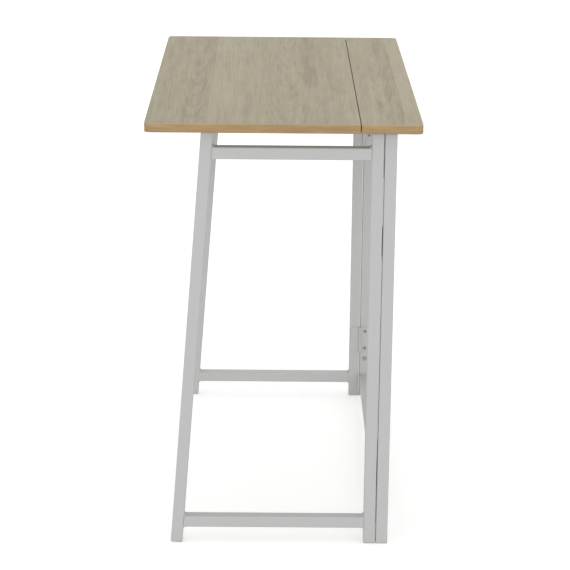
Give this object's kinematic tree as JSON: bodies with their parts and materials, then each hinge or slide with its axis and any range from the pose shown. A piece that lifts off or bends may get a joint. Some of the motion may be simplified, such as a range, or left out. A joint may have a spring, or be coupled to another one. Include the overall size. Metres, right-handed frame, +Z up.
{
  "type": "folding desk",
  "caption": "Small rectangular desk: a two-part wooden top on a square-tube frame whose two side gates swing in flat and whose front leaf is hinged to a fixed rear strip.",
  "frame": {"origin": "on the floor under the middle of the desktop", "axes": "+X along the desktop to the sitter's right, +Y from the front edge to the back edge, +Z up"},
  "size_m": [0.8, 0.45, 0.74],
  "materials": {
    "oak_board": "matt oak-effect laminate",
    "oak_edging": "matt oak-effect edging",
    "coated_steel": "satin light grey powder coat",
    "grey_plastic": "moulded light grey plastic",
    "zinc_steel": "zinc plated",
    "dark_zinc_steel": "dark zinc plated"
  },
  "bodies": {
    "rear_frame": {"left_upright": "coated_steel", "right_upright": "coated_steel", "rear_top_rail": "coated_steel", "rear_lower_rail": "coated_steel", "left_upright_foot": "grey_plastic", "right_upright_foot": "grey_plastic", "left_strip_plate": "coated_steel", "right_strip_plate": "coated_steel", "hole_plugs": "grey_plastic", "rear_strip": "oak_board", "rear_strip_edging": "oak_edging", "strip_screws": "zinc_steel", "left_lower_hinge_fixed_plate": "coated_steel", "left_upper_hinge_fixed_plate": "coated_steel", "right_lower_hinge_fixed_plate": "coated_steel", "right_upper_hinge_fixed_plate": "coated_steel", "gate_hinge_pins": "zinc_steel", "gate_hinge_screws": "dark_zinc_steel", "left_leaf_hinge_fixed_plate": "zinc_steel", "middle_leaf_hinge_fixed_plate": "zinc_steel", "right_leaf_hinge_fixed_plate": "zinc_steel", "leaf_hinge_pins": "zinc_steel", "leaf_hinge_fixed_screws": "zinc_steel"},
    "left_gate": {"left_gate_rear_leg": "coated_steel", "left_gate_front_leg": "coated_steel", "left_gate_top_rail": "coated_steel", "left_gate_lower_rail": "coated_steel", "left_gate_rear_foot": "grey_plastic", "left_gate_front_foot": "grey_plastic", "left_gate_top_plugs": "grey_plastic", "left_lower_hinge_gate_plate": "coated_steel", "left_upper_hinge_gate_plate": "coated_steel"},
    "right_gate": {"right_gate_rear_leg": "coated_steel", "right_gate_front_leg": "coated_steel", "right_gate_top_rail": "coated_steel", "right_gate_lower_rail": "coated_steel", "right_gate_rear_foot": "grey_plastic", "right_gate_front_foot": "grey_plastic", "right_gate_top_plugs": "grey_plastic", "right_lower_hinge_gate_plate": "coated_steel", "right_upper_hinge_gate_plate": "coated_steel"},
    "front_leaf_body": {"front_leaf": "oak_board", "front_leaf_edging": "oak_edging", "left_leaf_hinge_moving_plate": "zinc_steel", "middle_leaf_hinge_moving_plate": "zinc_steel", "right_leaf_hinge_moving_plate": "zinc_steel", "leaf_hinge_moving_screws": "zinc_steel"}
  },
  "joints": [
    {"name": "left_gate_fold", "type": "hinge", "parent": "rear_frame", "child": "left_gate", "pos_m": [-0.357, 0.164, 0.3285], "axis": [0, 0, 1], "range_deg": [0, 90]},
    {"name": "right_gate_fold", "type": "hinge", "parent": "rear_frame", "child": "right_gate", "pos_m": [0.357, 0.164, 0.3285], "axis": [0, 0, -1], "range_deg": [0, 90]},
    {"name": "front_leaf_lift", "type": "hinge", "parent": "rear_frame", "child": "front_leaf_body", "pos_m": [0, 0.1245, 0.7222], "axis": [-1, 0, 0], "range_deg": [0, 3]}
  ]
}
